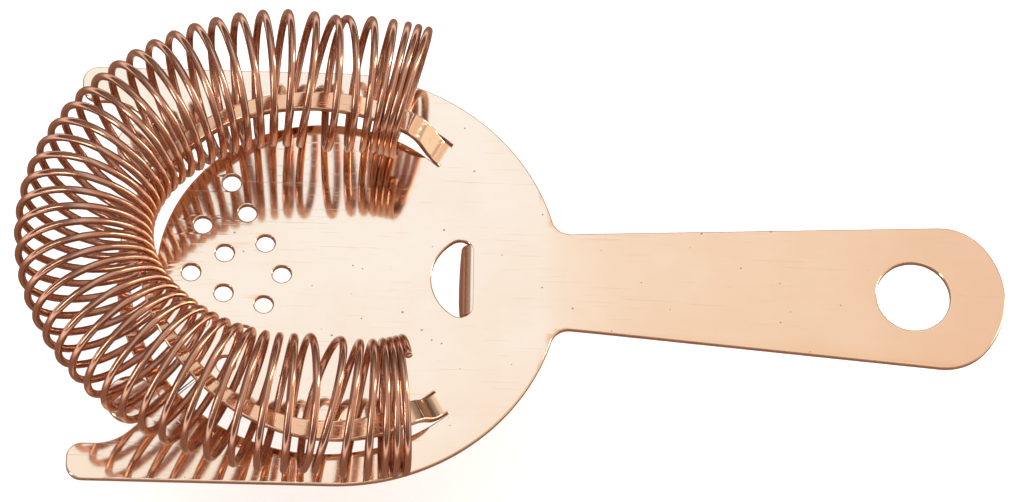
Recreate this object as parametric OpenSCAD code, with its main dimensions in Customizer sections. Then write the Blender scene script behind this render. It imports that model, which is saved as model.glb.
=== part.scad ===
// Hawthorne strainer: a stamped sheet-metal plate that carries a loose coil spring.
// Millimetres, +Z up. Origin: centre of the disc, on its upper (coil side) face.
// +X runs rearward along the handle; the two ears and the coil's nose point forward, to -X.

/* [Sheet and disc] */
// Thickness of the sheet metal
sheet = 1.2; // [1:0.05:1.3]
// Radius of the round rear half of the disc
disc_r = 36.5; // [36.3:0.1:37.5]
// Radius of the front rim between the two ears
rim_r = 35; // [34.7:0.1:35.6]

/* [Ears] */
// How far the ears reach forward of the disc centre
ear_reach = 41.8; // [41:0.1:46]
// Width of an ear near its tip
ear_w = 6.2; // [5.8:0.1:6.4]
// Corner radius at the tip of an ear
ear_tip_r = 2.6; // [1:0.1:2.8]

/* [Handle] */
// Distance from the disc centre to the end of the handle
handle_end = 109.2; // [104:0.5:125]
// Half width of the handle where it leaves the disc
handle_root_hw = 8.3; // [7.5:0.05:9]
// Half width of the handle where its rounded end begins
handle_tip_hw = 12.45; // [11.5:0.05:13]
// Corner radius at the end of the handle
handle_corner_r = 9; // [8:0.1:10]
// Radius of the fillets where the handle meets the disc
handle_fillet = 3; // [2:0.1:5]
// Angle the handle drops away from the coil side
handle_drop = 2.6; // [1:0.1:4]
// Diameter of the hanging hole
hang_d = 12; // [9:0.1:14]
// Distance from the hanging hole's centre to the end of the handle
hang_inset = 15.1; // [13:0.1:18]

/* [Perforations] */
// Diameter of each drain hole
drain_d = 3; // [2:0.1:3.2]

/* [Rail] */
// Outer radius of the slot the rail is lifted from
slot_outer_r = 31.3; // [31.2:0.05:31.5]
// Inner radius of the slot the rail is lifted from
slot_inner_r = 27; // [26.6:0.05:27.05]
// Height of the rail's upper face where the rail leaves its ramps
rail_lift = 3.9; // [3.85:0.05:4]
// Radius of the curve that carries the rail upward towards the front
rail_curve_r = 92; // [91:0.5:96]
// Slope of the ramps at the two ends of the rail
ramp_angle = 45; // [40:1:50]

/* [Finger tab] */
// Radius of the half-moon window
window_r = 7.7; // [7:0.1:7.9]
// Angle the half-moon tab is bent down
tab_angle = 86; // [80:1:90]
// Inside radius of the tab's bend
tab_bend_r = 0.5; // [0.4:0.1:1]

/* [Coil] */
// Wire diameter
wire_d = 1.25; // [1:0.05:1.25]
// Radius of the coil, measured to the middle of the wire
coil_r = 10.55; // [10.5:0.01:10.65]
// Number of turns
turns = 50.3; // [40:0.1:52]
// Sideways lean of the turns at the nose, as a slope
turn_lean = 0.09; // [0:0.01:0.12]

/* [Hidden] */
plate_colour = [0.93, 0.72, 0.58];
wire_colour = [0.62, 0.36, 0.24];

disc_x = 0.4;         // the rear arc is struck from just behind the origin
edge_y = disc_r;      // straight edges run forward from the rear arc to the ears
beyond = 60;          // half size of the shapes that trim the disc
prism_bottom = -12;
prism_height = 20;

// ---------- helpers ----------
function unit(angle) = [cos(angle), sin(angle)];
function direction(v) = atan2(v[1], v[0]);
// points along an arc; first = 1 leaves out the starting point
function arc_points(centre, radius, from, to, count, first = 0) =
    [for (i = [first:count]) centre + radius * unit(from + (to - from) * i / count)];
// the same points across the X axis, in reverse order
function mirrored(points) =
    [for (i = [len(points) - 1:-1:0]) [points[i][0], -points[i][1]]];

module round_at(centre, radius, facets) {
    translate(centre) circle(r = radius, $fn = facets);
}
module both() {
    children();
    mirror([0, 1, 0]) children();
}
// a tall upright prism, later trimmed to the bent sheet
module prism() {
    translate([0, 0, prism_bottom]) linear_extrude(height = prism_height) children();
}

// ---------- ears ----------
// Ear and its web, for the side at -Y. The inner edge runs level from the tip, then
// climbs along a diagonal to the front rim; both inside corners are filleted.
ear_inner_y = -edge_y + ear_w;
ear_tip_x = -ear_reach + ear_tip_r;
diag_normal = [-0.681, 0.732];                      // points off the metal
diag_along = [-diag_normal[1], diag_normal[0]];     // towards the tip
diag_offset = 1.23;                                 // the diagonal's distance from the origin

// fillet between rim and diagonal
notch_r = 4;
notch_along = sqrt(pow(rim_r + notch_r, 2) - pow(diag_offset + notch_r, 2));
notch_centre = diag_normal * (diag_offset + notch_r) + diag_along * notch_along;
notch_on_rim = notch_centre * (rim_r / (rim_r + notch_r));
notch_on_diag = notch_centre - diag_normal * notch_r;

// fillet between diagonal and level edge
heel_r = 8;
heel_y = ear_inner_y + heel_r;
heel_x = (diag_offset + heel_r - diag_normal[1] * heel_y) / diag_normal[0];
heel_centre = [heel_x, heel_y];
heel_on_edge = [heel_x, ear_inner_y];
heel_on_diag = heel_centre - diag_normal * heel_r;

module ear() {
    prism() difference() {
        polygon([[disc_x, -edge_y], [ear_tip_x, -edge_y], [ear_tip_x, ear_inner_y],
                 heel_on_edge, heel_on_diag, notch_on_diag, notch_on_rim,
                 notch_on_rim * 0.6, [disc_x, -edge_y * 0.5]]);
        round_at(notch_centre, notch_r, 144);
        round_at(heel_centre, heel_r, 192);
    }
    for (y = [-edge_y + ear_tip_r, ear_inner_y - ear_tip_r])
        prism() round_at([ear_tip_x, y], ear_tip_r, 96);
    prism() translate([-ear_reach, -edge_y + ear_tip_r])
        square([ear_tip_r + 1, ear_w - 2 * ear_tip_r]);
}

// ---------- handle ----------
// Side line at +Y, from root to tip
root_x = 36;                                  // where the root half width is measured
tip_x = handle_end - 10.8;                    // where the tip half width is measured
side_slope = (handle_tip_hw - handle_root_hw) / (tip_x - root_x);
side_angle = atan(side_slope);
side_normal = [-sin(side_angle), cos(side_angle)];
side_along = [side_normal[1], -side_normal[0]];
side_offset = side_normal * [root_x, handle_root_hw];   // its distance from the origin

// Corner circle: touches the side line, and the end arc from inside
end_arc_r = 14.2;
end_arc_centre = [handle_end - end_arc_r, 0];
function corner_y(x) = (side_offset - handle_corner_r - side_normal[0] * x) / side_normal[1];
function corner_gap(x) =
    norm([x, corner_y(x)] - end_arc_centre) - (end_arc_r - handle_corner_r);
function find_corner_x(low, high, tries) =
    let (middle = (low + high) / 2)
    tries == 0 ? middle
    : corner_gap(middle) > 0 ? find_corner_x(low, middle, tries - 1)
    : find_corner_x(middle, high, tries - 1);
corner_x = find_corner_x(end_arc_centre[0], handle_end, 40);
corner_centre = [corner_x, corner_y(corner_x)];
corner_angle = direction(corner_centre - end_arc_centre);

// Fillet between the side line and the disc
disc_centre = [disc_x, 0];
fillet_across = side_offset + handle_fillet - side_normal * disc_centre;
fillet_along = sqrt(pow(disc_r + handle_fillet, 2) - pow(fillet_across, 2));
fillet_centre = disc_centre + side_normal * fillet_across + side_along * fillet_along;
fillet_on_side = fillet_centre - side_normal * handle_fillet;
fillet_on_disc = disc_centre
    + (fillet_centre - disc_centre) * (disc_r / (disc_r + handle_fillet));

module handle() {
    half_outline = concat(
        [[20, 0], fillet_on_side - [10, 10 * side_slope], fillet_on_side],
        arc_points(corner_centre, handle_corner_r, direction(side_normal), corner_angle, 20),
        arc_points(end_arc_centre, end_arc_r, corner_angle, 0, 12, first = 1));
    off_axis = [for (i = [1:len(half_outline) - 2]) half_outline[i]];
    prism() polygon(concat(half_outline, mirrored(off_axis)));
    both() prism() difference() {
        polygon([fillet_on_disc - [3, 0], fillet_on_disc, fillet_on_side,
                 fillet_on_side - [3, 3]]);
        round_at(fillet_centre, handle_fillet, 120);
    }
}

// ---------- blank: the outline before it is pierced and bent ----------
module blank() {
    prism() circle(r = rim_r, $fn = 480);
    prism() intersection() {
        round_at(disc_centre, disc_r, 480);
        translate([disc_x, -beyond]) square([beyond, 2 * beyond]);
    }
    both() ear();
    handle();
}

// ---------- slot ----------
// Hinge line at each end of the rail, where the ramp leaves the disc (side at -Y)
hinge_point = [17.9, -22.3];
hinge_rearward = [0.873, 0.4877] / norm([0.873, 0.4877]);   // square to the hinge line
hinge_outward = [hinge_rearward[1], -hinge_rearward[0]];    // along the hinge line
// the two hinge lines meet here on the X axis
apex_x = hinge_point[0] + hinge_outward[0] * (-hinge_point[1] / hinge_outward[1]);

slot_outer_x = -1.4;
slot_inner_x = -1.6;

module front_of_hinges() {
    far = hinge_point + hinge_outward * beyond;
    polygon([[apex_x, 0], far, [-beyond, -beyond], [-beyond, beyond], [far[0], -far[1]]]);
}

module slot() {
    prism() intersection() {
        difference() {
            round_at([slot_outer_x, 0], slot_outer_r, 360);
            round_at([slot_inner_x, 0], slot_inner_r, 360);
        }
        front_of_hinges();
    }
}

// ---------- drain holes ----------
// [x, y] of the holes on the axis, and of one hole from each mirrored pair
drain_axis = [[-23, 0], [-8.35, 0]];
drain_pairs = [[-17.67, 3.55], [-11.13, 5.42], [-14.2, 10.74], [-21.34, 8.46], [-16.88, 16.1]];
drain_cut = 12;       // length of the cutting cylinder

module drain(x, y) {
    translate([x, y, -drain_cut / 2]) cylinder(d = drain_d, h = drain_cut, $fn = 64);
}
module drains() {
    for (hole = drain_axis) drain(hole[0], hole[1]);
    for (hole = drain_pairs, side = [-1, 1]) drain(hole[0], side * hole[1]);
}

// ---------- half-moon window, with its two corners rounded ----------
window_edge_x = 22.45;         // straight side, and bend line of the tab
window_arc_x = 23.5;           // centre of the half-moon arc
window_corner_r = 2;
window_corner_x = window_edge_x - window_corner_r;
window_corner_y = sqrt(pow(window_r - window_corner_r, 2)
                       - pow(window_arc_x - window_corner_x, 2));
window_corner = [window_corner_x, window_corner_y];
window_arc_centre = [window_arc_x, 0];
// from the arc's centre through the corner's, and where that meets the arc
window_ray = (window_corner - window_arc_centre) / (window_r - window_corner_r);
window_tangent = window_arc_centre + window_ray * window_r;

module window() {
    ray_end = window_arc_centre + window_ray * 30;
    prism() intersection() {
        round_at(window_arc_centre, window_r, 240);
        polygon([window_arc_centre, ray_end, [-20, 30], [-20, -30], [ray_end[0], -ray_end[1]]]);
    }
    prism() polygon([[window_arc_x - 6, 0], window_tangent, window_corner,
                     [window_edge_x, window_corner_y], [window_edge_x, -window_corner_y],
                     [window_corner_x, -window_corner_y],
                     [window_tangent[0], -window_tangent[1]]]);
    both() prism() round_at(window_corner, window_corner_r, 96);
}

// ---------- side profile of the bent sheet, in X and Z ----------
bend_x = 33;                   // the handle starts to drop here
bend_r = 260;                  // gentle bend, radius at the upper face
bend_steps = 4;
function bend_at(radius, i) =
    let (angle = handle_drop * i / bend_steps)
    [bend_x, -bend_r] + radius * [sin(angle), cos(angle)];
bend_end = bend_at(bend_r, bend_steps);
drop_along = [cos(handle_drop), -sin(handle_drop)];
drop_normal = [sin(handle_drop), cos(handle_drop)];

module sheet_profile() {
    far = bend_end + drop_along * 100;
    polygon(concat([[-beyond, 0]],
                   [for (i = [0:bend_steps]) bend_at(bend_r, i)],
                   [far, far - drop_normal * sheet],
                   [for (i = [bend_steps:-1:0]) bend_at(bend_r - sheet, i)],
                   [[-beyond, -sheet]]));
}

// ---------- hanging hole ----------
hang_x = handle_end - hang_inset;
hang_z = bend_end[1] - (hang_x - bend_end[0]) * tan(handle_drop);

module hanging_hole() {
    translate([hang_x, 0, hang_z]) rotate([0, handle_drop, 0])
        cylinder(d = hang_d, h = 8, center = true, $fn = 192);
}

// ---------- rail heights ----------
// Behind rail_curve_x the rail is a ramp, drawn square to the hinge line: level metal,
// bend, slope, bend, level. In front of it the rail curves upward.
rail_curve_x = 10.5;
ramp_lead = 0.3;               // level metal between the slot end and the first bend
ramp_bend_r = 2.78;
ramp_bend_rise = ramp_bend_r * (1 - cos(ramp_angle));
ramp_bend_run = ramp_bend_r * sin(ramp_angle);
ramp_slope_length = (rail_lift - 2 * ramp_bend_rise) / sin(ramp_angle);
ramp_run = 2 * ramp_bend_run + ramp_slope_length * cos(ramp_angle);

// Height and slope of the ramp's upper face; run is measured forward from the first bend
function ramp_z(run) =
    run <= 0 ? 0
    : run < ramp_bend_run ? ramp_bend_r - sqrt(pow(ramp_bend_r, 2) - run * run)
    : run < ramp_run - ramp_bend_run ? ramp_bend_rise + (run - ramp_bend_run) * tan(ramp_angle)
    : run < ramp_run
        ? rail_lift - ramp_bend_r + sqrt(pow(ramp_bend_r, 2) - pow(ramp_run - run, 2))
    : rail_lift;
function ramp_tilt(run) =
    run <= 0 ? 0
    : run < ramp_bend_run ? asin(run / ramp_bend_r)
    : run < ramp_run - ramp_bend_run ? ramp_angle
    : run < ramp_run ? asin((ramp_run - run) / ramp_bend_r)
    : 0;
// how far a plan point lies forward of the first bend, on either side of the axis
function run_at(point) =
    -(([point[0], -abs(point[1])] - hinge_point) * hinge_rearward) - ramp_lead;
function rail_z(point) =
    point[0] < rail_curve_x
    ? rail_lift + rail_curve_r - sqrt(pow(rail_curve_r, 2) - pow(rail_curve_x - point[0], 2))
    : ramp_z(run_at(point));
function rail_tilt(point) =
    point[0] < rail_curve_x ? asin((rail_curve_x - point[0]) / rail_curve_r)
    : ramp_tilt(run_at(point));

// ---------- rail plan ----------
// Broad at its ends, narrow at the front. Each cross-section lies on a ray from the apex
// where the two hinge lines meet.
// [x of the centre, radius] of the circles that bound it; the inner edge follows
// whichever inner circle is farther from the apex
rail_outer = [-0.9, slot_outer_r - 0.6];
rail_inner_ends = [-2, slot_inner_r + 0.5];
rail_inner_front = [-6.5, 24];
// distance from the apex to a circle, along a ray
function reach(angle, bound) =
    let (gap = bound[0] - apex_x, middle = gap * cos(angle))
    middle + sqrt(middle * middle - gap * gap + bound[1] * bound[1]);

// Directions of the cross-sections: closely spaced on the ramps, wider apart at the front.
// The first lies one step behind the hinge line, inside the sheet.
hinge_angle = direction(hinge_outward);
ramp_cuts = 22;
front_cuts = 30;
ramp_sweep = 19;
half_cuts = concat(
    [for (i = [-1:ramp_cuts]) hinge_angle - ramp_sweep * i / ramp_cuts],
    [for (i = [1:front_cuts])
        (hinge_angle - ramp_sweep) * (1 - i / front_cuts) - 180 * i / front_cuts]);
rail_cuts = concat(half_cuts, [for (i = [len(half_cuts) - 2:-1:0]) -360 - half_cuts[i]]);

lap = 0.04;           // taken off above and below, so the buried ends lie within the sheet
function rail_point(point, side) =
    [point[0], point[1],
     rail_z(point) - sheet / 2 + side * (sheet / 2 / cos(rail_tilt(point)) - lap)];
function rail_section(angle) =
    let (inner_reach = max(reach(angle, rail_inner_ends), reach(angle, rail_inner_front)),
         inner = [apex_x, 0] + inner_reach * unit(angle),
         outer = [apex_x, 0] + reach(angle, rail_outer) * unit(angle))
    [rail_point(inner, -1), rail_point(outer, -1), rail_point(outer, 1), rail_point(inner, 1)];

module rail() {
    points = [for (angle = rail_cuts, point = rail_section(angle)) point];
    skin = [for (i = [0:len(rail_cuts) - 2], k = [0:3])
        let (a = 4 * i + k, b = 4 * i + (k + 1) % 4)
        each [[a, a + 4, b + 4], [a, b + 4, b]]];
    last = 4 * (len(rail_cuts) - 1);
    start_cap = [[0, 1, 2], [0, 2, 3]];
    end_cap = [[last, last + 2, last + 1], [last, last + 3, last + 2]];
    polyhedron(points = points, faces = concat(start_cap, skin, end_cap), convexity = 6);
}

// ---------- finger tab ----------
// A bend that starts on the window's straight side, then the half-moon hanging from it.
// It sits a hair below the sheet's upper face, and its root is let into the sheet.
tab_hw = window_corner_y + 1.4;
tab_side = tab_hw + 0.4;       // half width of the shape that trims the half-moon
tab_bend_length = (tab_bend_r + sheet / 2) * tab_angle * PI / 180;
tab_clearance = 0.15;          // the half-moon's radius is this much less than the window's
tab_sink = 0.03;

module tab_root() {
    translate([0, 0.3 - tab_hw, tab_bend_r]) cube([1, 2 * tab_hw - 0.6, sheet]);
}

// about an axis along Y
module tab_bend() {
    rotate([90, 0, 0]) translate([0, 0, -tab_hw]) linear_extrude(height = 2 * tab_hw)
        intersection() {
            difference() {
                circle(r = tab_bend_r + sheet, $fn = 240);
                circle(r = tab_bend_r, $fn = 240);
            }
            polygon([[0, 0], unit(90) * 20, unit(90 + tab_angle / 2) * 24,
                     unit(90 + tab_angle) * 20]);
        }
}

// drawn flat with X along its length, then turned down into place
module tab_half_moon() {
    rotate([0, -tab_angle, 0]) translate([0, 0, tab_bend_r])
        rotate([0, 0, 180]) linear_extrude(height = sheet) intersection() {
            round_at([window_edge_x - window_arc_x - tab_bend_length, 0],
                     window_r - tab_clearance, 240);
            polygon([[0, -tab_hw], [1, -tab_side], [20, -tab_side],
                     [20, tab_side], [1, tab_side], [0, tab_hw]]);
        }
}

module finger_tab() {
    translate([window_edge_x, 0, -sheet - tab_bend_r - tab_sink]) {
        tab_root();
        tab_bend();
        tab_half_moon();
    }
}

module strainer_plate() {
    color(plate_colour) union() {
        difference() {
            intersection() {
                blank();
                rotate([90, 0, 0]) translate([0, 0, -beyond])
                    linear_extrude(height = 2 * beyond) sheet_profile();
            }
            slot();
            drains();
            window();
            hanging_hole();
        }
        rail();
        finger_tab();
    }
}

// ---------- coil centre line ----------
// A horseshoe in plan that rises towards the front. Its angle is 0 at the nose and
// plus or minus coil_end_angle at the ends.
coil_end_angle = 130;
coil_x_terms = [-1.785, -31.108, -6.909];     // constant, cos(a), cos(3a)
coil_y_terms = [32.759, 4.531];               // sin(a), sin(3a)
coil_z_terms = [12.75, 2.0, -0.13];           // constant, cos(a), cos(2a)
function coil_centre(a) = [coil_x_terms * [1, cos(a), cos(3 * a)],
                           coil_y_terms * [sin(a), sin(3 * a)],
                           coil_z_terms * [1, cos(a), cos(2 * a)]];

// arc length against angle, from the nose to one end
line_steps = 200;
line_angles = [for (i = [0:line_steps]) coil_end_angle * i / line_steps];
line_points = [for (angle = line_angles) coil_centre(angle)];
line_lengths = [
    for (i = 0, total = 0;
         i <= line_steps;
         i = i + 1,
         total = i <= line_steps ? total + norm(line_points[i] - line_points[i - 1]) : total)
    total];
half_length = line_lengths[line_steps];
length_to_angle = [for (i = [0:line_steps]) [line_lengths[i], line_angles[i]]];
function angle_at(distance) = sign(distance) * lookup(abs(distance), length_to_angle);

// ---------- coil pitch ----------
// Turns are counted from the nose: open turns, then the pitch fades to closed turns at
// the ends. The open pitch is scaled so that the turns fill the length.
closed_turns = 2.4;
fade_turns = 2.4;
closed_pitch = 1.1 * wire_d;
half_turns = turns / 2;
open_turns = half_turns - closed_turns - fade_turns;
open_growth = 0.00025;         // makes the pitch widen away from the nose
function open_shape(turn) = turn + open_growth * pow(turn, 3);
open_end_slope = 1 + 3 * open_growth * pow(open_turns, 2);
open_scale = (half_length - closed_turns * closed_pitch - fade_turns * closed_pitch / 2)
             / (open_shape(open_turns) + fade_turns * open_end_slope / 2);
open_end_pitch = open_scale * open_end_slope;

// Distance along the centre line, signed like the turn
function along(turn) =
    let (from_nose = abs(turn),
         past_open = from_nose - open_turns,
         past_fade = past_open - fade_turns)
    sign(turn) * (
        past_open <= 0 ? open_scale * open_shape(from_nose)
        : past_fade <= 0 ? open_scale * open_shape(open_turns) + open_end_pitch * past_open
            - (open_end_pitch - closed_pitch) * past_open * past_open / (2 * fade_turns)
        : half_length - (closed_turns - past_fade) * closed_pitch);

// ---------- coil wire ----------
coil_phase = 113;     // where the wire starts, round the coil from its outer side
lean_change = 0.55;   // share of the lean lost at the +Y end and gained at the -Y end
tangent_step = 0.2;   // degrees either side of a point, for finding its tangent

// [centre, tangent, outward, upward]
function coil_frame(turn) =
    let (a = angle_at(along(turn)),
         chord = coil_centre(a + tangent_step) - coil_centre(a - tangent_step),
         tangent = chord / norm(chord),
         level = [tangent[1], -tangent[0], 0],
         inward = level / norm(level))
    [coil_centre(a), tangent, -inward, cross(inward, tangent)];

// Point on the middle of the wire
function wire_point(turn) =
    let (frame = coil_frame(turn),
         phase = 360 * (turn + half_turns) + coil_phase,
         lean = turn_lean * (1 - lean_change * turn / half_turns))
    frame[0] + coil_r * (cos(phase) * (frame[2] + lean * frame[1]) + sin(phase) * frame[3]);

turn_steps = 16;      // stations per turn
sides = 6;            // sides of the wire
wire_steps = round(turns * turn_steps);

module coil_spring() {
    stations = [for (i = [0:wire_steps]) -half_turns + turns * i / wire_steps];
    middles = [for (turn = stations) wire_point(turn)];
    rings = [for (i = [0:wire_steps])
        let (chord = middles[min(i + 1, wire_steps)] - middles[max(i - 1, 0)],
             tangent = chord / norm(chord),
             spoke = middles[i] - coil_frame(stations[i])[0],
             square_spoke = spoke - (spoke * tangent) * tangent,
             away = square_spoke / norm(square_spoke),
             across = cross(tangent, away))
        for (k = [0:sides - 1])
            let (angle = 360 * k / sides)
            middles[i] + wire_d / 2 * (cos(angle) * away + sin(angle) * across)];
    faces = concat(
        [[for (k = [0:sides - 1]) k]],
        [for (i = [0:wire_steps - 1], k = [0:sides - 1])
            let (a = i * sides + k, b = i * sides + (k + 1) % sides)
            [a + sides, b + sides, b, a]],
        [[for (k = [sides - 1:-1:0]) wire_steps * sides + k]]);
    color(wire_colour) polyhedron(points = rings, faces = faces, convexity = 10);
}

strainer_plate();
coil_spring();
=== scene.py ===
"""A copper cocktail strainer: a pierced plate with a handle, and a coil spring round its rim.

The plate's disc is centred on the origin with its top face at z = 0. The handle runs to +X,
an ear stands out at each of +Y and -Y, and the coil wraps the -X side above the plate.
Shapes are in millimetres and degrees, and are scaled to metres as each mesh is made.
"""
import math
import bmesh
import bpy
import numpy as np
from mathutils import Matrix, Vector


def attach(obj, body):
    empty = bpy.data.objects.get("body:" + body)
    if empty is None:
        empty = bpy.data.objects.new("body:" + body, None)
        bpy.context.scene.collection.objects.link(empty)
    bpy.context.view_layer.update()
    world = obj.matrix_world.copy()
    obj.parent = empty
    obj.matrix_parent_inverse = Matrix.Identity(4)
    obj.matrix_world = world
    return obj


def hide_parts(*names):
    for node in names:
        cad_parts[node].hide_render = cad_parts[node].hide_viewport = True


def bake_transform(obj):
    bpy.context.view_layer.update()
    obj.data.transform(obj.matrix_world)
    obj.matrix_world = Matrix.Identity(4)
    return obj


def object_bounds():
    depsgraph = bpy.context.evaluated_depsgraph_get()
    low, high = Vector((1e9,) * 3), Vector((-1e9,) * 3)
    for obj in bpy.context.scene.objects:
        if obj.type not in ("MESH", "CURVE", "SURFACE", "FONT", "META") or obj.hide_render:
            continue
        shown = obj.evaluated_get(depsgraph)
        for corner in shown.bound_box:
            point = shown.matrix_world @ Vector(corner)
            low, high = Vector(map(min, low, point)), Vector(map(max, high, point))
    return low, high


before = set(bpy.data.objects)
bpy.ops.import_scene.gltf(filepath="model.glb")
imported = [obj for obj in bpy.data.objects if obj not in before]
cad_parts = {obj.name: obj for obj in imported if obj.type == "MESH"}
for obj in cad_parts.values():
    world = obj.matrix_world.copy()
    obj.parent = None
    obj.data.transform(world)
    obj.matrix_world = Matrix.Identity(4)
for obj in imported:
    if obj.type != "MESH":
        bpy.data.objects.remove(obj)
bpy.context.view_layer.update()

MM = 0.001

SHEET = 1.2                                  # thickness of the plate, the tab and the rail
EDGE_R = 0.24                                # rounding of their edges


# ------------------------------------------------------------------ drawing helpers
def sind(angle):
    return math.sin(math.radians(angle))


def cosd(angle):
    return math.cos(math.radians(angle))


def angle_to(point, centre):
    return math.degrees(math.atan2(point[1] - centre[1], point[0] - centre[0]))


def arc(centre, radius, start, end, step=2.0):
    """Points on an arc, both ends included, about step degrees apart."""
    count = max(2, int(abs(end - start) / step) + 1)
    angles = [start + (end - start) * i / count for i in range(count + 1)]
    return [(centre[0] + radius * cosd(a), centre[1] + radius * sind(a)) for a in angles]


def line(start, end, step=1.5):
    """Points strictly between start and end."""
    run, rise = end[0] - start[0], end[1] - start[1]
    count = max(1, int(math.hypot(run, rise) / step))
    return [(start[0] + run * i / count, start[1] + rise * i / count) for i in range(1, count)]


# ------------------------------------------------------------------ plate outline
HANDLE_SIDE = np.array([[36.0, 8.3], [98.4, 12.45]])     # two points on the straight side
HANDLE_END_X = 109.2
HANDLE_END_R = 14.2                          # arc across the handle's end
HANDLE_CORNER_R = 9.0                        # between that arc and the side
SHOULDER_X, SHOULDER_R = 0.4, 36.5           # large arc from the handle to the ears
HANDLE_FILLET_R = 3.0                        # between the handle's side and the shoulder
RIM_R = 35.0                                 # arc round the -X side, about the origin

EAR_X, EAR_INNER_Y, EAR_TIP_R = -41.8, 30.3, 2.6
EAR_ROOT_R = 8.0                             # bend from the inner edge to the slanted edge
SLANT_NORMAL = np.array([-0.681, -0.732])    # slanted edge between the ear and the rim
SLANT_DIRECTION = np.array([-0.732, 0.681])
SLANT_OFFSET = 1.23
NOTCH_R = 4.0                                # circle touching the slanted edge and the rim


def handle_outline():
    """The handle at +Y, from the middle of its end to where it meets the shoulder."""
    (x0, y0), (x1, y1) = HANDLE_SIDE
    tilt = math.atan((y1 - y0) / (x1 - x0))
    normal = np.array([-math.sin(tilt), math.cos(tilt)])
    offset = float(normal @ HANDLE_SIDE[0])
    end = np.array([HANDLE_END_X - HANDLE_END_R, 0])
    shoulder = np.array([SHOULDER_X, 0])

    def corner_y(x):
        return (offset - HANDLE_CORNER_R - normal[0] * x) / normal[1]

    # the corner touches both the side and the end arc: its centre is found by halving
    low, high = end[0], HANDLE_END_X
    for _ in range(60):
        middle = (low + high) / 2
        if math.hypot(middle - end[0], corner_y(middle)) > HANDLE_END_R - HANDLE_CORNER_R:
            high = middle
        else:
            low = middle
    corner = np.array([low, corner_y(low)])
    side_start = corner + normal * HANDLE_CORNER_R
    end_stop = end + (corner - end) / np.linalg.norm(corner - end) * HANDLE_END_R

    across = offset + HANDLE_FILLET_R - float(normal[0] * SHOULDER_X)
    reach_r = SHOULDER_R + HANDLE_FILLET_R
    along = math.sqrt(reach_r ** 2 - across ** 2)
    fillet = shoulder + normal * across + np.array([normal[1], -normal[0]]) * along
    side_end = fillet - normal * HANDLE_FILLET_R
    shoulder_start = shoulder + (fillet - shoulder) * (SHOULDER_R / reach_r)

    points = arc(end, HANDLE_END_R, 0, angle_to(end_stop, end))
    points += arc(corner, HANDLE_CORNER_R, angle_to(end_stop, corner),
                  angle_to(side_start, corner), 3)[1:]
    points += line(side_start, side_end)
    points += arc(fillet, HANDLE_FILLET_R, angle_to(side_end, fillet),
                  angle_to(shoulder_start, fillet), 5)
    return points + arc(shoulder, SHOULDER_R, angle_to(shoulder_start, shoulder), 90, 1.5)[1:]


def ear_outline():
    """The ear at +Y, from the top of the shoulder to the rim's -X point."""
    tip_x = EAR_X + EAR_TIP_R
    root_y = EAR_INNER_Y - EAR_ROOT_R
    root_x = (SLANT_OFFSET + EAR_ROOT_R - SLANT_NORMAL[1] * root_y) / SLANT_NORMAL[0]
    root = np.array([root_x, root_y])
    slant_start = root - SLANT_NORMAL * EAR_ROOT_R
    across = SLANT_OFFSET + NOTCH_R
    along = math.sqrt((RIM_R + NOTCH_R) ** 2 - across ** 2)
    notch = SLANT_NORMAL * across + SLANT_DIRECTION * along
    rim_start = notch * (RIM_R / (RIM_R + NOTCH_R))
    slant_end = notch - SLANT_NORMAL * NOTCH_R

    points = line((SHOULDER_X, SHOULDER_R), (tip_x, SHOULDER_R))
    points += arc((tip_x, SHOULDER_R - EAR_TIP_R), EAR_TIP_R, 90, 180, 6)
    points += arc((tip_x, EAR_INNER_Y + EAR_TIP_R), EAR_TIP_R, 180, 270, 6)
    points.append((root_x, EAR_INNER_Y))
    points += arc(root, EAR_ROOT_R, 90, angle_to(slant_start, root), 3)[1:]
    points += line(slant_start, slant_end)
    # the notch goes the long way round its circle
    points += arc(notch, NOTCH_R, angle_to(slant_end, notch),
                  angle_to(rim_start, notch) + 360, 4)
    return points + arc((0, 0), RIM_R, angle_to(rim_start, (0, 0)), 180, 1.5)[1:]


def plate_outline():
    half = handle_outline() + ear_outline()
    return half + [(x, -y) for x, y in reversed(half[1:-1])]


# ------------------------------------------------------------------ openings in the plate
WINDOW_FLAT_X = 22.45                        # straight side of the window, where the tab bends
WINDOW_X, WINDOW_R, WINDOW_CORNER_R = 23.5, 7.7, 2.0

SLOT_END = np.array([17.9, -22.3])           # a point on the slot's end line at -Y
SLOT_NORMAL = np.array([0.873, 0.4877]) / math.hypot(0.873, 0.4877)
SLOT_LINE = np.array([SLOT_NORMAL[1], -SLOT_NORMAL[0]])
APEX_X = SLOT_END[0] + SLOT_LINE[0] * (-SLOT_END[1] / SLOT_LINE[1])   # end lines meet at y = 0
SLOT_START_ANGLE = math.degrees(math.atan2(SLOT_LINE[1], SLOT_LINE[0]))
SLOT_STEPS = 150
SLOT_OUTER, SLOT_INNER = (-1.4, 31.3), (-1.6, 27.0)      # circle: centre x, radius

HOLE_R = 1.5
AXIS_HOLES = [(-23, 0), (-8.35, 0)]
PAIRED_HOLES = [(-17.67, 3.55), (-11.13, 5.42), (-14.2, 10.74), (-21.34, 8.46), (-16.88, 16.1)]
HANG_X, HANG_R = 94.1, 6.0                   # round hole near the handle's end


def reach(angle, circle):
    """Distance from the apex, at an angle, to a circle given by its centre x and radius."""
    centre_x, radius = circle
    offset = centre_x - APEX_X
    across = offset * cosd(angle)
    return across + math.sqrt(across * across - offset * offset + radius * radius)


def from_apex(angle, radius):
    return (APEX_X + radius * cosd(angle), radius * sind(angle))


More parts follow.
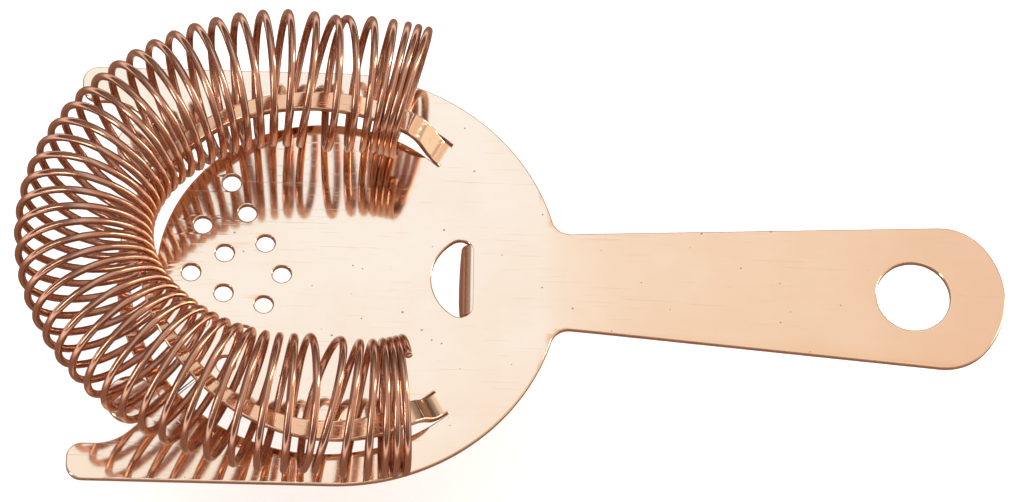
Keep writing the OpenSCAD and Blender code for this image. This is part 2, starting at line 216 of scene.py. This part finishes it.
def window_outline():
    corner_x = WINDOW_FLAT_X - WINDOW_CORNER_R
    corner_y = math.sqrt((WINDOW_R - WINDOW_CORNER_R) ** 2 - (WINDOW_X - corner_x) ** 2)
    turn = angle_to((corner_x, corner_y), (WINDOW_X, 0))
    points = arc((WINDOW_X, 0), WINDOW_R, turn, 360 - turn, 3)
    points += arc((corner_x, -corner_y), WINDOW_CORNER_R, 360 - turn, 360, 8)[1:]
    points += line((WINDOW_FLAT_X, -corner_y), (WINDOW_FLAT_X, corner_y), 1.0)
    return points + arc((corner_x, corner_y), WINDOW_CORNER_R, 0, turn, 8)[:-1]


def slot_outline():
    """The curved slot, from its end at -Y round the -X side to its end at +Y."""
    sweep = 360 + 2 * SLOT_START_ANGLE
    angles = [SLOT_START_ANGLE - sweep * i / SLOT_STEPS for i in range(SLOT_STEPS + 1)]
    outer = [from_apex(a, reach(a, SLOT_OUTER)) for a in angles]
    inner = [from_apex(a, reach(a, SLOT_INNER)) for a in reversed(angles)]
    return outer + line(outer[-1], inner[0], 1.0) + inner + line(inner[-1], outer[0], 1.0)


def plate_openings():
    centres = AXIS_HOLES + [(x, side * y) for x, y in PAIRED_HOLES for side in (1, -1)]
    holes = [arc(centre, HOLE_R, 0, 360, 9)[:-1] for centre in centres]
    hang_hole = arc((HANG_X, 0), HANG_R, 0, 360, 4)[:-1]
    return [window_outline(), slot_outline()] + holes + [hang_hole]


# ------------------------------------------------------------------ mesh helpers
def add_object(name, mesh):
    obj = bpy.data.objects.new(name, mesh)
    bpy.context.scene.collection.objects.link(obj)
    return obj


def shade_smooth(mesh):
    mesh.polygons.foreach_set("use_smooth", [True] * len(mesh.polygons))


def recalc_normals(mesh):
    bm = bmesh.new()
    bm.from_mesh(mesh)
    bmesh.ops.recalc_face_normals(bm, faces=bm.faces)
    bm.to_mesh(mesh)
    bm.free()


def tube_faces(rings, size, cap_starts):
    """Quads joining rings of size vertices, and a face on the ring at each cap start."""
    faces = []
    for i in range(rings - 1):
        for k in range(size):
            a, b = i * size + k, i * size + (k + 1) % size
            faces.append((a, b, b + size, a + size))
    first, last = cap_starts
    faces.append(tuple(first + k for k in reversed(range(size))))
    faces.append(tuple(last + k for k in range(size)))
    return faces


def sheet_object(name, loops, cuts, shape):
    """A sheet with rounded edges, from closed outlines.

    It is made flat, from z = 0 down to -SHEET, and split at each x in cuts. The function
    shape then moves its vertices into place.
    """
    curve = bpy.data.curves.new(name, "CURVE")
    curve.dimensions = "2D"
    curve.fill_mode = "BOTH"
    curve.extrude = SHEET / 2 - EDGE_R
    curve.bevel_depth = EDGE_R
    curve.bevel_resolution = 3
    curve.offset = -EDGE_R
    for loop in loops:
        spline = curve.splines.new("POLY")
        spline.points.add(len(loop) - 1)
        for point, (x, y) in zip(spline.points, loop):
            point.co = (x, y, 0, 1)
        spline.use_cyclic_u = True
    source = add_object(name + "_curve", curve)
    bpy.context.view_layer.update()
    depsgraph = bpy.context.evaluated_depsgraph_get()
    mesh = bpy.data.meshes.new_from_object(source.evaluated_get(depsgraph))
    bpy.data.objects.remove(source)
    bpy.data.curves.remove(curve)

    bm = bmesh.new()
    bm.from_mesh(mesh)
    bmesh.ops.remove_doubles(bm, verts=bm.verts, dist=1e-4)
    for x in cuts:
        bmesh.ops.bisect_plane(bm, geom=bm.verts[:] + bm.edges[:] + bm.faces[:], dist=1e-5,
                               plane_co=(x, 0, 0), plane_no=(1, 0, 0))
    bmesh.ops.recalc_face_normals(bm, faces=bm.faces)
    bm.to_mesh(mesh)
    bm.free()

    points = np.empty(len(mesh.vertices) * 3)
    mesh.vertices.foreach_get("co", points)
    points = points.reshape(-1, 3)
    points[:, 2] -= SHEET / 2
    mesh.vertices.foreach_set("co", (shape(points) * MM).ravel())
    mesh.name = name
    mesh.update()
    shade_smooth(mesh)
    obj = add_object(name, mesh)
    normals = obj.modifiers.new("flat_faces", "WEIGHTED_NORMAL")
    normals.mode = "FACE_AREA"
    normals.weight = 100
    normals.keep_sharp = False
    return obj


# ------------------------------------------------------------------ plate
BEND_X, BEND_R, BEND_ANGLE = 33.0, 260.0, 2.6            # the handle bends down, then runs straight
BEND_END_X = BEND_X + BEND_R * sind(BEND_ANGLE)
BEND_END_Z = -BEND_R * (1 - cosd(BEND_ANGLE))


def bend_handle(points):
    x = points[:, 0]
    curved = -(BEND_R - np.sqrt(np.maximum(BEND_R ** 2 - (x - BEND_X) ** 2, 0)))
    straight = BEND_END_Z - (x - BEND_END_X) * math.tan(math.radians(BEND_ANGLE))
    points[:, 2] += np.where(x < BEND_X, 0.0, np.where(x < BEND_END_X, curved, straight))
    return points


plate = sheet_object("plate_sheet", [plate_outline()] + plate_openings(),
                     list(np.linspace(BEND_X, BEND_END_X, 10)), bend_handle)

# ------------------------------------------------------------------ finger tab
FOLD_INNER_R, FOLD_ANGLE = 0.5, 86.0
FOLD_MID_R = FOLD_INNER_R + SHEET / 2
FOLD_LENGTH = FOLD_MID_R * math.radians(FOLD_ANGLE)
TAB_ROOT = 0.9                               # flat length under the plate before the fold
TAB_ROOT_HALF, TAB_ROOT_FLARE = 5.6, 0.6     # half width at the root, and its gain along it
TAB_HALF, TAB_FLARE = 6.2, 0.4               # the same past the fold, over its first 1 mm
TAB_R = WINDOW_R - 0.15                      # arc of the tab's end
TAB_ARC_CENTRE = -2.7                        # its centre, measured from the fold's far end
TAB_SINK = 0.03                              # how far the tab sits below the plate's faces


def tab_half_width(w):
    """Half width at a distance w past the fold's far end."""
    end_arc = math.sqrt(max(TAB_R ** 2 - (w - TAB_ARC_CENTRE) ** 2, 0))
    if w > 0:
        return min(end_arc, TAB_HALF + TAB_FLARE * min(1, w))
    share = min(1, max(0, (w + FOLD_LENGTH + TAB_ROOT) / TAB_ROOT))
    return min(end_arc, TAB_ROOT_HALF + TAB_ROOT_FLARE * share)


def tab_outline():
    """The tab drawn flat, its x measured from the bend line and running to -X."""
    fold_and_root = FOLD_LENGTH + TAB_ROOT
    stations = [-fold_and_root + 0.3 * i for i in range(int(fold_and_root / 0.3) + 1)]
    stations += [0.15 * i for i in range(1, 24)]
    tip = [(TAB_ARC_CENTRE + TAB_R * cosd(a), TAB_R * sind(a)) for a in range(50, -1, -2)]
    half = [(w, tab_half_width(w)) for w in stations if w < tip[0][0] - 0.1] + tip
    whole = half + [(w, -y) for w, y in reversed(half[:-1])]
    return [(-(w + FOLD_LENGTH), y) for w, y in whole]


def fold_tab(points):
    along = -points[:, 0]
    z = points[:, 2]
    radius = FOLD_INNER_R + SHEET + z
    turn = np.clip(along / FOLD_MID_R, 0, math.radians(FOLD_ANGLE))
    extra = np.maximum(along - FOLD_LENGTH, 0)
    x = np.where(along < 0, -along, -radius * np.sin(turn) - extra * cosd(FOLD_ANGLE))
    folded_z = -SHEET - FOLD_INNER_R + radius * np.cos(turn) - extra * sind(FOLD_ANGLE)
    z = np.where(along < 0, z, folded_z)
    return np.stack([WINDOW_FLAT_X + x, points[:, 1], z - TAB_SINK], -1)


tab = sheet_object("finger_tab", [tab_outline()],
                   [-FOLD_LENGTH * i / 10 for i in range(11)], fold_tab)

# ------------------------------------------------------------------ rail
# A raised strip over the slot. It climbs an S-shaped ramp at each end of the slot, then
# curves gently up towards -X.
RAIL_LIFT = 3.9                              # height at the top of the ramps
RAIL_CURVE_R, RAIL_CURVE_X = 92.0, 10.5      # the gentle curve, and where it begins
RAMP_R, RAMP_ANGLE = 3.78, 50.0
RAMP_LEAD = 0.1                              # distance from the slot's end line to the ramp
RAMP_BEND_RUN = RAMP_R * sind(RAMP_ANGLE)
RAMP_BEND_RISE = RAMP_R * (1 - cosd(RAMP_ANGLE))
RAMP_STRAIGHT = (RAIL_LIFT - 2 * RAMP_BEND_RISE) / sind(RAMP_ANGLE)
RAMP_RUN = 2 * RAMP_BEND_RUN + RAMP_STRAIGHT * cosd(RAMP_ANGLE)
RAMP_SWEEP = 19.0                            # angle at the apex that gets the closer stations
RAIL_RAISE = 0.004                           # how far the rail sits above the plate's faces
RAIL_OUTER = (-0.9, 30.7)                    # circle: centre x, radius
RAIL_INNERS = [(-2, 27.5), (-6.5, 24.0)]     # the farther of the two is the inner edge
RAIL_GUARD = 0.12                            # extra points that keep the flat faces' shading flat
RAIL_RING = 24                               # points round a cross-section


def rail_height(x, y):
    """Height of the rail's top face above the plate's, and its slope."""
    if x < RAIL_CURVE_X:
        run = RAIL_CURVE_X - x
        z = RAIL_LIFT + RAIL_CURVE_R - math.sqrt(RAIL_CURVE_R ** 2 - run * run)
        return z, math.degrees(math.asin(run / RAIL_CURVE_R))
    run = -((np.array([x, -abs(y)]) - SLOT_END) @ SLOT_NORMAL) - RAMP_LEAD
    left = RAMP_RUN - run
    if run <= 0:
        return 0.0, 0.0
    if run < RAMP_BEND_RUN:
        z = RAMP_R - math.sqrt(RAMP_R ** 2 - run * run)
        return z, math.degrees(math.asin(run / RAMP_R))
    if run < RAMP_RUN - RAMP_BEND_RUN:
        z = RAMP_BEND_RISE + (run - RAMP_BEND_RUN) * math.tan(math.radians(RAMP_ANGLE))
        return z, RAMP_ANGLE
    if run < RAMP_RUN:
        z = RAIL_LIFT - RAMP_R + math.sqrt(RAMP_R ** 2 - left ** 2)
        return z, math.degrees(math.asin(left / RAMP_R))
    return RAIL_LIFT, 0.0


def rail_section(width):
    """Cross-section as (distance from the inner edge, height from mid-thickness)."""
    def rounded(s, t, start):
        angles = [start + 22.5 * i for i in range(5)]
        return [(s + EDGE_R * cosd(a), t + EDGE_R * sind(a)) for a in angles]

    face = SHEET / 2
    inner, outer, corner = EDGE_R, width - EDGE_R, face - EDGE_R
    return [*rounded(outer, corner, 0), (outer - RAIL_GUARD, face),
            (inner + RAIL_GUARD, face), *rounded(inner, corner, 90),
            *rounded(inner, -corner, 180), (inner + RAIL_GUARD, -face),
            (outer - RAIL_GUARD, -face), *rounded(outer, -corner, 270)]


def build_rail():
    half = [SLOT_START_ANGLE - RAMP_SWEEP * i / 60 for i in range(-4, 61)]
    ramp_end = SLOT_START_ANGLE - RAMP_SWEEP
    half += [ramp_end + (-180 - ramp_end) * i / 90 for i in range(1, 91)]
    stations = half + [-360 - a for a in reversed(half[:-1])]
    verts = []
    for a in stations:
        inner = from_apex(a, max(reach(a, circle) for circle in RAIL_INNERS))
        outer = from_apex(a, reach(a, RAIL_OUTER))
        width = math.hypot(outer[0] - inner[0], outer[1] - inner[1])
        for s, t in rail_section(width):
            x = inner[0] + (outer[0] - inner[0]) * (s / width)
            y = inner[1] + (outer[1] - inner[1]) * (s / width)
            z, slope = rail_height(x, y)
            z += -SHEET / 2 + t / cosd(slope) + RAIL_RAISE
            verts.append((x * MM, y * MM, z * MM))
    # the end faces have their own vertices, so they don't tint the shading of the sides
    body = len(verts)
    verts += verts[:RAIL_RING] + verts[-RAIL_RING:]
    mesh = bpy.data.meshes.new("rail")
    mesh.from_pydata(verts, [], tube_faces(len(stations), RAIL_RING, (body, body + RAIL_RING)))
    recalc_normals(mesh)
    shade_smooth(mesh)
    return add_object("rail", mesh)


rail = build_rail()

# ------------------------------------------------------------------ coil
WIRE_D, COIL_R = 1.25, 10.55
COIL_TURNS, COIL_PHASE = 50.3, 113.0
COIL_END_ANGLE = 130.0                       # the coil runs this far each way from the -X side
CENTRE_X = (-1.785, -31.108, -6.909)         # constant, cos a, cos 3a
CENTRE_Y = (32.759, 4.531)                   # sin a, sin 3a
CENTRE_Z = (12.75, 2.0, -0.13)               # constant, cos a, cos 2a
CLOSE_TURNS, CLOSE_PITCH = 2.4, 1.1 * WIRE_D             # tight turns at each end
BLEND_TURNS = 2.4                            # turns over which the pitch changes
STRETCH = 0.00025                            # growth of the open pitch away from the middle
LEAN, LEAN_CHANGE = 0.09, 0.55               # tilt of the turns, and its change over half the coil
STATIONS_PER_TURN, WIRE_SIDES = 56, 14
END_SCALE, END_DOME, END_UV = 0.86, 0.06, 0.1            # the wire's slightly domed ends


def coil_centre(angle):
    r = np.radians(angle)
    x = CENTRE_X[0] + CENTRE_X[1] * np.cos(r) + CENTRE_X[2] * np.cos(3 * r)
    y = CENTRE_Y[0] * np.sin(r) + CENTRE_Y[1] * np.sin(3 * r)
    z = CENTRE_Z[0] + CENTRE_Z[1] * np.cos(r) + CENTRE_Z[2] * np.cos(2 * r)
    return np.stack([x, y, z], -1)


def path_lengths(points):
    steps = np.linalg.norm(np.diff(points, axis=0), axis=1)
    return np.concatenate([[0], np.cumsum(steps)])


def unit_rows(vectors):
    return vectors / np.linalg.norm(vectors, axis=1)[:, None]


def distance_at(turns, half_turns, half_length):
    """Signed distance along the centreline at a number of turns from the middle."""
    def stretched(count):
        return count + STRETCH * count ** 3

    open_turns = half_turns - CLOSE_TURNS - BLEND_TURNS
    slope = 1 + 3 * STRETCH * open_turns ** 2
    ends = CLOSE_TURNS * CLOSE_PITCH + BLEND_TURNS * CLOSE_PITCH / 2
    pitch = (half_length - ends) / (stretched(open_turns) + BLEND_TURNS * slope / 2)
    count = np.abs(turns)
    past_open = count - open_turns
    past_blend = past_open - BLEND_TURNS
    change = (pitch * slope - CLOSE_PITCH) * past_open * past_open / (2 * BLEND_TURNS)
    blended = pitch * stretched(open_turns) + pitch * slope * past_open - change
    closed = half_length - (CLOSE_TURNS - past_blend) * CLOSE_PITCH
    distance = np.where(past_open <= 0, pitch * stretched(count),
                        np.where(past_blend <= 0, blended, closed))
    return np.sign(turns) * distance


def wire_path():
    """Points on the wire's axis, and the coil centre beside each."""
    table_angles = np.linspace(0, COIL_END_ANGLE, 2001)
    table_lengths = path_lengths(coil_centre(table_angles))
    half_turns = COIL_TURNS / 2
    turns = np.linspace(-half_turns, half_turns, int(COIL_TURNS * STATIONS_PER_TURN) + 1)
    distance = distance_at(turns, half_turns, table_lengths[-1])
    angles = np.sign(distance) * np.interp(np.abs(distance), table_lengths, table_angles)
    centre = coil_centre(angles)
    tangent = unit_rows(coil_centre(angles + 0.2) - coil_centre(angles - 0.2))
    sideways = unit_rows(np.stack([tangent[:, 1], -tangent[:, 0], 0 * tangent[:, 0]], -1))
    upward = np.cross(sideways, tangent)
    lean = (LEAN * (1 - LEAN_CHANGE * turns / half_turns))[:, None]
    phase = np.radians(360 * (turns + half_turns) + COIL_PHASE)[:, None]
    spoke = np.cos(phase) * (-sideways + lean * tangent) + np.sin(phase) * upward
    return centre + COIL_R * spoke, centre


def build_coil():
    path, centre = wire_path()
    direction = unit_rows(np.gradient(path, axis=0))
    spoke = path - centre
    outward = unit_rows(spoke - np.sum(spoke * direction, 1)[:, None] * direction)
    binormal = np.cross(direction, outward)
    sides = []
    for k in range(WIRE_SIDES):
        turn = 2 * math.pi * k / WIRE_SIDES
        offset = math.cos(turn) * outward + math.sin(turn) * binormal
        sides.append(path + WIRE_D / 2 * offset)
    body = np.stack(sides, 1).reshape(-1, 3)
    first = path[0] + (body[:WIRE_SIDES] - path[0]) * END_SCALE - direction[0] * END_DOME
    last = path[-1] + (body[-WIRE_SIDES:] - path[-1]) * END_SCALE + direction[-1] * END_DOME
    verts = np.concatenate([first, body, last]) * MM
    rings = len(path) + 2
    mesh = bpy.data.meshes.new("coil")
    mesh.from_pydata(verts.tolist(), [],
                     tube_faces(rings, WIRE_SIDES, (0, (rings - 1) * WIRE_SIDES)))
    shade_smooth(mesh)

    # u is the length along the wire in mm, v the share of the way round it
    lengths = path_lengths(path)
    lengths = np.concatenate([[lengths[0] - END_UV], lengths, [lengths[-1] + END_UV]])
    coords = np.zeros((len(mesh.loops), 2))
    loop = 0
    for i in range(rings - 1):
        for k in range(WIRE_SIDES):
            for ring, side in ((i, k), (i, k + 1), (i + 1, k + 1), (i + 1, k)):
                coords[loop] = (lengths[ring], side / WIRE_SIDES)
                loop += 1
    mesh.uv_layers.new(name="wire").data.foreach_set("uv", coords.ravel())
    recalc_normals(mesh)
    return add_object("coil", mesh)


coil = build_coil()


# ------------------------------------------------------------------ materials
class Graph:
    """Short calls for building a node tree. A value may be a number, a tuple or an output."""

    def __init__(self, tree):
        self.tree = tree

    def feed(self, socket, value):
        if isinstance(value, bpy.types.NodeSocket):
            self.tree.links.new(value, socket)
        elif isinstance(value, tuple) and socket.type == "RGBA":
            socket.default_value = (*value, 1)
        else:
            socket.default_value = value

    def node(self, kind, *values, **options):
        """Values fill the first inputs; capitalised options are inputs, others are settings."""
        node = self.tree.nodes.new("ShaderNode" + kind)
        for name, value in options.items():
            if name[0].islower():
                setattr(node, name, value)
        for i, value in enumerate(values):
            self.feed(node.inputs[i], value)
        for name, value in options.items():
            if name[0].isupper():
                self.feed(node.inputs[name.replace("_", " ")], value)
        return node

    def math(self, operation, *values):
        return self.node("Math", *values, operation=operation).outputs[0]

    def scaled(self, source, factor):
        return self.math("MULTIPLY", source, factor)

    def combine(self, operation, total, *terms):
        """Add or subtract terms, each a source and its weight."""
        for source, weight in terms:
            total = self.math(operation, total, self.scaled(source, weight))
        return total

    def mix(self, factor, a, b, blend="MIX"):
        node = self.node("Mix", factor, data_type="RGBA", blend_type=blend)
        self.feed(node.inputs[6], a)
        self.feed(node.inputs[7], b)
        return node.outputs[2]

    def tint(self, base, mask, strength, colour):
        return self.mix(self.scaled(mask, strength), base, colour)

    def ramp(self, source, *stops):
        """Stops are (position, grey level or colour)."""
        node = self.node("ValToRGB", source)
        elements = node.color_ramp.elements
        while len(elements) < len(stops):
            elements.new(0.5)
        for element, (position, colour) in zip(elements, stops):
            element.position = position
            element.color = (*(colour if isinstance(colour, tuple) else (colour,) * 3), 1)
        return node.outputs[0]

    def noise(self, vector, scale, detail, roughness=0.5):
        return self.node("TexNoise", Vector=vector, Scale=scale, Detail=detail,
                         Roughness=roughness).outputs[0]

    def map_range(self, source, start, end, to=(0.0, 1.0), curve="SMOOTHSTEP"):
        return self.node("MapRange", source, interpolation_type=curve, From_Min=start,
                         From_Max=end, To_Min=to[0], To_Max=to[1]).outputs[0]

    def millimetres(self):
        coords = self.node("TexCoord").outputs["Object"]
        return self.node("Mapping", coords, Scale=(1000, 1000, 1000)).outputs[0]

    def bump(self, height, distance):
        return self.node("Bump", Strength=0.35, Distance=distance, Height=height).outputs[0]


def metal(name):
    material = bpy.data.materials.new(name)
    material.use_nodes = True
    material.node_tree.nodes.clear()
    g = Graph(material.node_tree)
    output = g.node("OutputMaterial")
    shader = g.node("BsdfPrincipled", Metallic=1.0)
    g.feed(output.inputs[0], shader.outputs[0])
    return material, g, shader.inputs


# hairlines: direction in radians, scale along, scale across, noise level they show above
SCRATCHES = [(0.25, 0.035, 3.2, 0.735), (-0.55, 0.05, 4.5, 0.745),
             (1.35, 0.045, 3.8, 0.755), (0.85, 0.07, 6.0, 0.75)]


def plate_material(name, *shade_stops):
    """Polished copper, with painted shade on faces whose normal is level. The shade stops set where
    the normal is level enough to count as cut edge and be darkened.
    """
    material, g, inputs = metal(name)
    place = g.millimetres()
    scratches = None
    for k, (turn, along, across, level) in enumerate(SCRATCHES):
        vector = g.node("Mapping", place, Rotation=(0, 0, turn), Scale=(along, across, 1),
                        Location=(3.1 * k, 7.7 * k, 0)).outputs[0]
        grain = g.noise(vector, scale=1.0, detail=3.0, roughness=0.55)
        lines = g.ramp(grain, (level - 0.06, 0.0), (level, 1.0))
        scratches = lines if scratches is None else g.mix(1.0, scratches, lines, "LIGHTEN")
    # pits: a few cells hold a large one, most hardly any
    cells = g.node("TexVoronoi", Vector=place, Scale=0.62)
    cell_value = g.node("SeparateColor", cells.outputs["Color"]).outputs[0]
    pit_size = g.scaled(g.math("POWER", cell_value, 4.0), 0.125)
    pits = g.math("LESS_THAN", cells.outputs["Distance"], pit_size)
    clouds = g.noise(place, scale=0.055, detail=4.0, roughness=0.6)
    tarnish = g.ramp(clouds, (0.35, 0.0), (0.68, 1.0))
    fine = g.noise(place, scale=1.7, detail=5.0, roughness=0.65)
    normal = g.node("SeparateXYZ", g.node("NewGeometry").outputs["Normal"])
    # painted shade mask: 1 where the normal is level (cut edges, steep ramps), 0 on the flat faces
    level_face_shade = g.ramp(g.math("ABSOLUTE", normal.outputs[2]), *shade_stops)

    base = g.mix(tarnish, (0.935, 0.690, 0.512), (0.915, 0.655, 0.470))
    # painted shade: faces with a level normal get a dark red-brown base colour
    base = g.tint(base, level_face_shade, strength=0.85, colour=(0.36, 0.135, 0.07))
    g.feed(inputs["Metallic"], g.combine("SUBTRACT", 1.0, (level_face_shade, 0.2)))
    g.feed(inputs["Specular IOR Level"], g.combine("SUBTRACT", 0.5, (level_face_shade, 0.35)))
    base = g.tint(base, scratches, strength=0.30, colour=(0.80, 0.55, 0.40))
    base = g.tint(base, pits, strength=0.75, colour=(0.30, 0.15, 0.10))
    g.feed(inputs["Base Color"], base)
    rough = g.math("ADD", g.scaled(fine, 0.05), 0.035)
    rough = g.combine("ADD", rough, (tarnish, 0.03), (scratches, 0.16), (level_face_shade, 0.22))
    g.feed(inputs["Roughness"], rough)
    height = g.combine("SUBTRACT", g.scaled(fine, 0.10), (scratches, 0.35), (pits, 0.9))
    waves = g.noise(place, scale=0.07, detail=1.0)
    height = g.combine("ADD", height, (waves, 1.2))
    g.feed(inputs["Normal"], g.bump(height, distance=0.00003))
    return material


def wire_material():
    """Drawn copper wire, with lines along its length and dark spots."""
    material, g, inputs = metal("polished_copper_wire")
    uv = g.node("UVMap", uv_map="wire").outputs[0]
    vector = g.node("Mapping", uv, Scale=(0.10, 26.0, 1)).outputs[0]
    streaks = g.noise(vector, scale=1.0, detail=4.0, roughness=0.6)
    lines = g.ramp(streaks, (0.42, 0.0), (0.66, 1.0))
    speckle = g.noise(g.millimetres(), scale=0.9, detail=6.0, roughness=0.7)
    spots = g.ramp(speckle, (0.56, 0.0), (0.74, 1.0))
    base = g.mix(lines, (0.53, 0.275, 0.185), (0.68, 0.39, 0.285))
    g.feed(inputs["Base Color"],
           g.tint(base, spots, strength=0.6, colour=(0.22, 0.085, 0.05)))
    rough = g.math("ADD", g.scaled(lines, 0.09), 0.15)
    g.feed(inputs["Roughness"], g.combine("ADD", rough, (spots, 0.13)))
    height = g.combine("SUBTRACT", g.scaled(lines, 0.5), (spots, 0.6))
    g.feed(inputs["Normal"], g.bump(height, distance=0.00002))
    return material


plate_copper = plate_material("polished_copper_plate", (0.0, 1.0), (0.35, 0.75), (0.62, 0.0))
wire_copper = wire_material()
# painted shade: on the tab, all but its flattest faces take the dark, duller, redder edge colour,
# so its fold is darkened
shaded_fold_copper = plate_material("polished_copper_fold", (0.0, 1.0), (0.80, 0.95), (0.996, 0.0))
for obj in (plate, tab, rail):
    obj.data.materials.clear()
    obj.data.materials.append(shaded_fold_copper if obj is tab else plate_copper)
    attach(obj, "plate")
coil.data.materials.append(wire_copper)
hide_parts("strainer_plate")
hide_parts("coil_spring")
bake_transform(coil)
for name, material in (("strainer_plate", plate_copper), ("coil_spring", wire_copper)):
    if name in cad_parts:
        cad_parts[name].data.materials.clear()
        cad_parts[name].data.materials.append(material)

# ------------------------------------------------------------------ floor, in metres
FLOOR_GAP = 0.06                             # below the lowest point of the model
FLOOR_COLOUR = (0.93, 0.93, 0.93)
# colour of the painted shadow the floor shows only in reflections
PAINTED_SHADOW_COLOUR = (0.22, 0.14, 0.105)


def floor_material(floor_z):
    material = bpy.data.materials.new("pale_floor")
    material.use_nodes = True
    g = Graph(material.node_tree)
    shader = g.tree.nodes["Principled BSDF"]
    g.feed(shader.inputs["Base Color"], FLOOR_COLOUR)
    g.feed(shader.inputs["Roughness"], 0.9)
    g.feed(shader.inputs["Specular IOR Level"], 0.1)
    # painted shadow: reflections see a soft dark pool under the object, which camera rays don't see
    rays = g.node("LightPath")
    geometry = g.node("NewGeometry")
    distance = g.node("VectorMath", geometry.outputs["Position"], (0.03, 0.0, floor_z),
                      operation="DISTANCE").outputs["Value"]
    near = g.map_range(distance, 0.20, 0.42, to=(1.0, 0.0))
    painted_shadow = g.scaled(near, rays.outputs["Is Glossy Ray"])
    g.feed(shader.inputs["Base Color"], g.mix(painted_shadow, FLOOR_COLOUR, PAINTED_SHADOW_COLOUR))
    # from below, the floor is clear, so the underside can be seen
    clear = g.node("BsdfTransparent").outputs[0]
    surface = g.node("MixShader", geometry.outputs["Backfacing"], shader.outputs[0], clear)
    g.feed(g.tree.nodes["Material Output"].inputs[0], surface.outputs[0])
    return material


floor_z = float(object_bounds()[0][2]) - FLOOR_GAP
bpy.ops.mesh.primitive_plane_add(size=6, location=(0, 0, floor_z))
floor = bpy.context.object
floor.name = "floor"
floor.data.materials.append(floor_material(floor_z))

# ------------------------------------------------------------------ world
BOX_GAIN = 1.6                               # keeps the ramp's colours below 1
# overhead softbox from cool to warm: position, colour
BOX_TONES = [
    (0.252, (1.05, 1.26, 1.48)), (0.383, (1.05, 1.26, 1.485)), (0.514, (1.024, 1.118, 1.195)),
    (0.745, (1.0, 1.025, 1.028)), (0.869, (0.97, 0.925, 0.86)), (0.934, (0.925, 0.806, 0.734)),
]


def build_world():
    world = bpy.data.worlds.new("studio")
    bpy.context.scene.world = world
    world.use_nodes = True
    world.node_tree.nodes.clear()
    g = Graph(world.node_tree)
    output = g.node("OutputWorld")
    background = g.node("Background")
    g.feed(output.inputs[0], background.outputs[0])
    x, y, z = g.node("SeparateXYZ", g.node("TexCoord").outputs["Generated"]).outputs

    stops = [(position, tuple(c / BOX_GAIN for c in colour)) for position, colour in BOX_TONES]
    tone = g.ramp(g.map_range(x, -0.09, 0.20, curve="LINEAR"), *stops)
    box = g.node("VectorMath", tone, operation="SCALE", Scale=BOX_GAIN).outputs[0]
    back = g.map_range(y, 0.375, 0.408)      # the softbox is warmer towards -Y
    box = g.mix(1.0, box, g.mix(back, (0.98, 0.88, 0.78), (1.0, 1.0, 1.0)), "MULTIPLY")
    overhead = g.map_range(z, 0.50, 0.80)
    low = g.mix(g.map_range(z, 0.05, 0.45), (0.12, 0.085, 0.07), (0.36, 0.29, 0.25))
    low = g.mix(g.map_range(x, 0.72, 0.92), low, (1.05, 0.93, 0.76))     # bright side at +X
    left = g.map_range(x, -0.44, -0.12, to=(0.04, 1.0))      # the softbox fades towards -X
    g.feed(background.inputs[0], g.mix(g.scaled(overhead, left), low, box))


build_world()


# ------------------------------------------------------------------ lights and camera
def area_light(name, place, size, power, glossy, colour=(1, 1, 1)):
    light = bpy.data.lights.new(name, "AREA")
    light.shape = "RECTANGLE"
    light.size, light.size_y = size
    light.energy = power
    light.color = colour
    obj = add_object(name, light)
    obj.location = place
    aim = Vector((0.03, 0, 0)) - Vector(place)
    obj.rotation_euler = aim.to_track_quat("-Z", "Y").to_euler()
    obj.visible_glossy = glossy


STRIP = dict(size=(0.16, 0.9), power=4.0, glossy=True, colour=(1.0, 0.95, 0.88))
area_light("fill", (0.1, -0.1, 1.6), size=(2.4, 2.4), power=42.0, glossy=False)
area_light("strip_left", (-0.9, -0.5, 0.55), **STRIP)
area_light("strip_right", (0.9, 0.3, 0.5), **STRIP)


def add_camera(target, azimuth, elevation, distance, roll, lens):
    """A camera aimed at target. Azimuth is measured from -Y towards +X."""
    camera = bpy.data.cameras.new("camera")
    obj = add_object("camera", camera)
    azimuth, elevation, roll = map(math.radians, (azimuth, elevation, roll))
    back = Vector((math.sin(azimuth) * math.cos(elevation),
                   -math.cos(azimuth) * math.cos(elevation), math.sin(elevation)))
    right = Vector((math.cos(azimuth), math.sin(azimuth), 0))
    up = back.cross(right)
    place = Vector(target) + back * distance
    x_axis = right * math.cos(roll) - up * math.sin(roll)
    y_axis = right * math.sin(roll) + up * math.cos(roll)
    rows = [tuple(row) for row in zip(x_axis, y_axis, back, place)]
    obj.matrix_world = Matrix((*rows, (0, 0, 0, 1)))
    camera.sensor_width = 36
    camera.sensor_fit = "HORIZONTAL"
    camera.lens = lens
    camera.clip_start, camera.clip_end = 0.05, 20
    bpy.context.scene.camera = obj


add_camera(target=(0.028794, 0.0051, 0), azimuth=-3.619, elevation=65.177, distance=1.001,
           roll=-4.729, lens=217.285805)
bpy.context.scene.view_settings.view_transform = "Standard"
bpy.context.scene.view_settings.look = "None"
